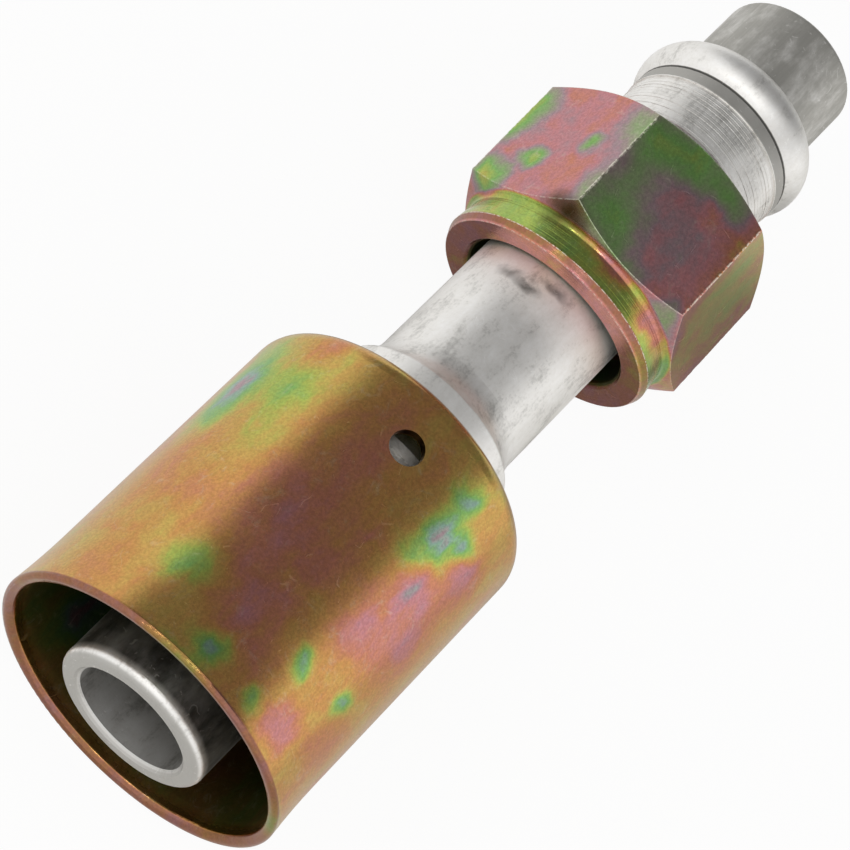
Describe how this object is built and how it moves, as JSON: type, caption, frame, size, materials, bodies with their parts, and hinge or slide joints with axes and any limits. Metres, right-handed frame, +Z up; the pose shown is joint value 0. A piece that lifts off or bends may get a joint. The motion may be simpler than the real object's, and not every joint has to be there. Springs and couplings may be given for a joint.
{
  "type": "crimp hose fitting",
  "caption": "Straight crimp hose fitting: a barbed aluminium stem with a pilot end, a plated steel ferrule to be crimped round the hose, and a loose hexagon nut.",
  "frame": {"origin": "on the axis of the stem's through bore, in the plane of the ferrule's mouth", "axes": "+X along the bore towards the pilot, +Z up with the fitting lying on its side"},
  "size_m": [0.1076, 0.0334, 0.0334],
  "materials": {
    "stem_aluminium": "turned and drawn, satin, lightly scratched",
    "ferrule_plated_steel": "yellow zinc plate with iridescent bands of green, pink, orange and teal",
    "nut_plated_steel": "yellow zinc plate, green and pink, with nicked corners"
  },
  "bodies": {
    "fitting": {"stem": "stem_aluminium", "ferrule": "ferrule_plated_steel"},
    "nut": {"nut": "nut_plated_steel"}
  },
  "joints": [
    {"name": "nut_spin", "type": "hinge", "parent": "fitting", "child": "nut", "pos_m": [0.0621, -0.0006, -0.00072], "axis": [0.9888, 0.0487, 0.1414], "continuous": true}
  ]
}
